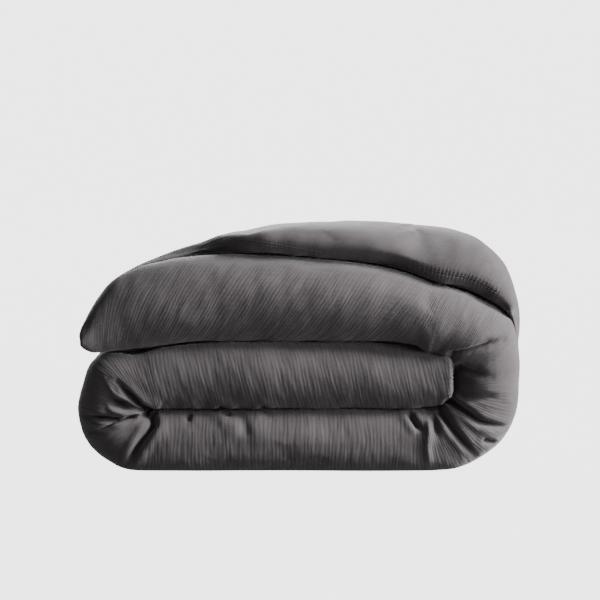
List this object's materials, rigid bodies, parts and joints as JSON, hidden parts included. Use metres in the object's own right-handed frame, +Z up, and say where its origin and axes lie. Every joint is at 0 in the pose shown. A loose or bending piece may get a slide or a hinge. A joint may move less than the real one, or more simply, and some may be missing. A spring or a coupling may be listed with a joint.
{
  "type": "folded duvet",
  "caption": "Duvet in a crinkled double-gauze cover, folded into a compact stack, with a top fold and a flap that lift.",
  "frame": {"origin": "bottom centre of the folded duvet, on the surface it rests on", "axes": "+X along the long side towards the bend that the top layer comes out of, -Y out of the front with the folded edges, +Z up"},
  "size_m": [0.664, 0.46, 0.3721],
  "materials": {
    "gauze": "matte",
    "seam": "matte",
    "ticking": "matte",
    "wadding": "matte",
    "tape": "matte",
    "button": "satin"
  },
  "bodies": {
    "base": {"base_cover_face": "gauze", "base_cover_reverse": "gauze", "base_ticking_face": "ticking", "base_ticking_reverse": "ticking", "base_wadding": "wadding", "base_outer_edge_seam": "seam", "base_inner_edge_seam": "seam", "foot_button_band": "gauze", "foot_buttonhole_band": "gauze", "foot_button_1": "button", "foot_button_2": "button", "foot_button_3": "button", "foot_button_4": "button", "foot_button_5": "button", "foot_button_6": "button", "foot_outer_corner_loop": "tape", "foot_outer_corner_tie": "tape", "foot_inner_corner_loop": "tape", "foot_inner_corner_tie": "tape"},
    "top_fold": {"top_fold_cover_face": "gauze", "top_fold_cover_reverse": "gauze", "top_fold_ticking_face": "ticking", "top_fold_ticking_reverse": "ticking", "top_fold_wadding": "wadding", "top_fold_edge_seam": "seam", "top_fold_head_seam": "seam", "head_inner_corner_loop": "tape", "head_inner_corner_tie": "tape"},
    "flap": {"flap_cover_face": "gauze", "flap_cover_reverse": "gauze", "flap_ticking_face": "ticking", "flap_ticking_reverse": "ticking", "flap_wadding": "wadding", "flap_edge_seam": "seam", "flap_head_seam": "seam", "head_outer_corner_loop": "tape", "head_outer_corner_tie": "tape"}
  },
  "joints": [
    {"name": "top_fold_lift", "type": "hinge", "parent": "base", "child": "top_fold", "pos_m": [0.2, 0, 0.3651], "axis": [0, 1, 0], "range_deg": [0, 70]},
    {"name": "flap_lift", "type": "hinge", "parent": "top_fold", "child": "flap", "pos_m": [0, 0.23, 0.2751], "axis": [-1, 0, 0], "range_deg": [0, 40]}
  ]
}
